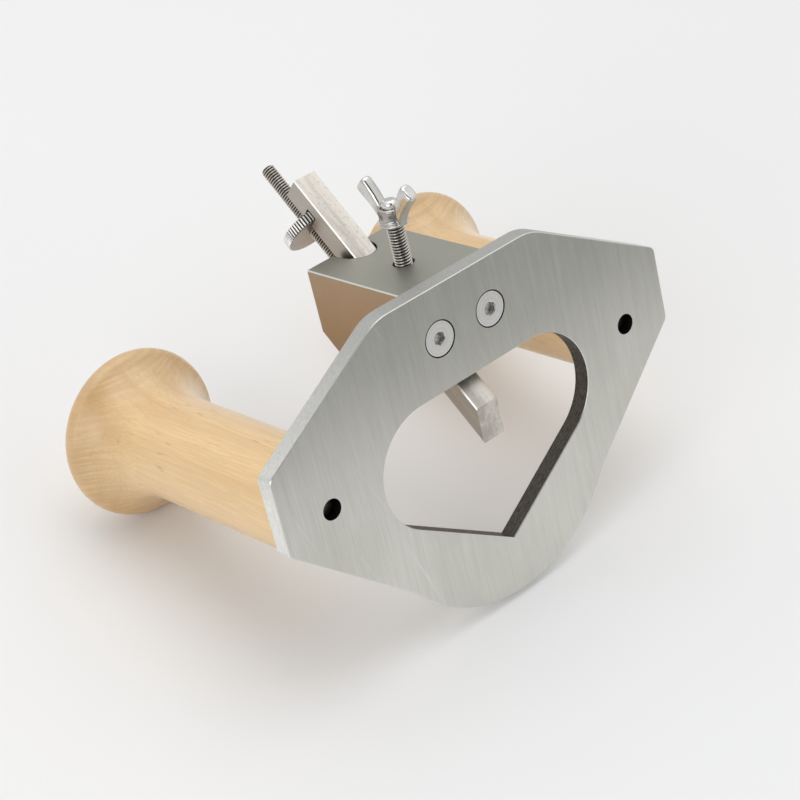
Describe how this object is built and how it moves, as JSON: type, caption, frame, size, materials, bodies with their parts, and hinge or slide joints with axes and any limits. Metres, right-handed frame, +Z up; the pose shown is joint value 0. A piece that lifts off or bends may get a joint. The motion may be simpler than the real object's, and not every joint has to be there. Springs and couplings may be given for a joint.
{
  "type": "hand router plane",
  "caption": "Two-handled router plane: flat steel sole with an open throat, a clamp block with a sloping square cutter, thumb-wheel depth adjuster and wing lock screw.",
  "frame": {"origin": "centre of the bounding box's base, on the bench the tool rests on", "axes": "+Z up in the resting pose, on both knobs and the nose of the sole; +X across the tool from the left handle to the right as seen from the working face; the working face looks towards -Y and a little up"},
  "size_m": [0.1898, 0.1362, 0.1316],
  "materials": {
    "satin_steel": "satin, fine grain along the sole",
    "tool_steel": "ground, warm grey with handling smears",
    "screw_steel": "bright machined",
    "wheel_steel": "turned faces, straight-knurled rim",
    "polished_steel": "polished casting",
    "maple": "turned light maple, clear lacquer"
  },
  "bodies": {
    "frame": {"sole_plate": "satin_steel", "clamp_block": "satin_steel", "block_screw_left": "screw_steel", "block_screw_right": "screw_steel", "adjuster_rod": "screw_steel", "handle_left": "maple", "handle_right": "maple", "handle_stud_left": "screw_steel", "handle_stud_right": "screw_steel"},
    "cutter": {"cutter_bar": "tool_steel"},
    "wheel": {"thumb_wheel": "wheel_steel"},
    "lock_screw": {"lock_stud": "screw_steel"},
    "wing": {"wing_head": "polished_steel"}
  },
  "joints": [
    {"name": "cutter_depth", "type": "slide", "parent": "frame", "child": "cutter", "axis": [0, -0.9156, -0.4021], "range_m": [-0.022, 0.013]},
    {"name": "wheel_turn", "type": "hinge", "parent": "cutter", "child": "wheel", "pos_m": [0, 0.04069, 0.0902], "axis": [0, -0.9156, -0.4021], "range_deg": [-8430, 4983]},
    {"name": "lock_screw_travel", "type": "slide", "parent": "frame", "child": "lock_screw", "axis": [0, 0.3631, 0.9318], "range_m": [0, 0.004]},
    {"name": "wing_turn", "type": "hinge", "parent": "lock_screw", "child": "wing", "pos_m": [0, 0.00265, 0.1169], "axis": [0, 0.3631, 0.9318], "range_deg": [-1, 1441]}
  ],
  "couplings": [
    {"joint": "wheel_turn", "follows": "cutter_depth", "rad_per_m": 6684.2},
    {"joint": "wing_turn", "follows": "lock_screw_travel", "rad_per_m": 6283.2}
  ]
}
